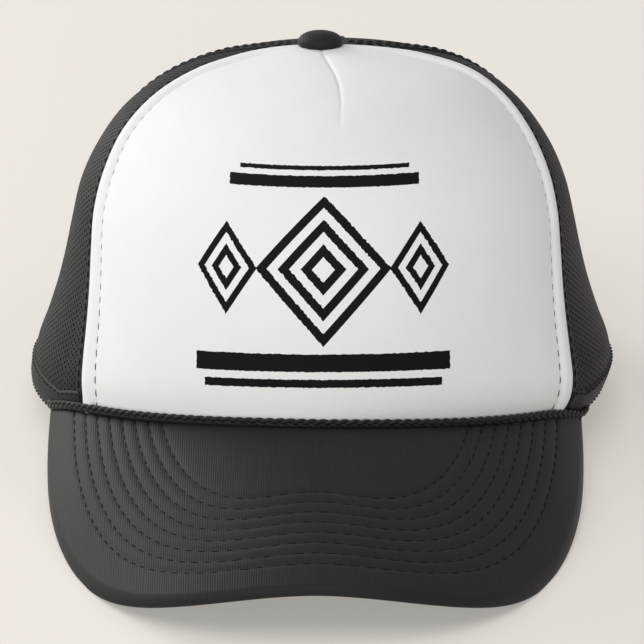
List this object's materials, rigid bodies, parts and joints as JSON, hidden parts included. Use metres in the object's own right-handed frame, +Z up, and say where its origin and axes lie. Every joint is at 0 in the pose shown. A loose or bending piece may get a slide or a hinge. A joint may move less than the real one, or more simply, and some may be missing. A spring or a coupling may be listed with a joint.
{
  "type": "trucker hat",
  "caption": "Trucker hat with a foam front, net sides and back, a covered button, a curved stitched bill, a braided cord on the seam and a snap strap.",
  "frame": {"origin": "on the ground under the middle of the hat's box, as the hat stands by itself", "axes": "+Z up from the ground, -Y out over the bill, +X towards the viewer's right when looking at the front"},
  "size_m": [0.1854, 0.2752, 0.1216],
  "materials": {
    "white_foam_cloth": "matt white brushed tricot over foam",
    "black_net": "black knitted polyester net",
    "black_twill": "black polyester cloth with a fine weave",
    "black_braid": "black braided cord with a slight sheen",
    "black_plastic": "black moulded strap"
  },
  "bodies": {
    "root": {"front_panel": "white_foam_cloth", "mesh_side_left": "black_net", "mesh_side_right": "black_net", "mesh_back_left": "black_net", "mesh_back_right": "black_net", "crown_button": "black_twill", "bill": "black_twill", "bill_cord": "black_braid", "snap_strap": "black_plastic"}
  },
  "joints": []
}
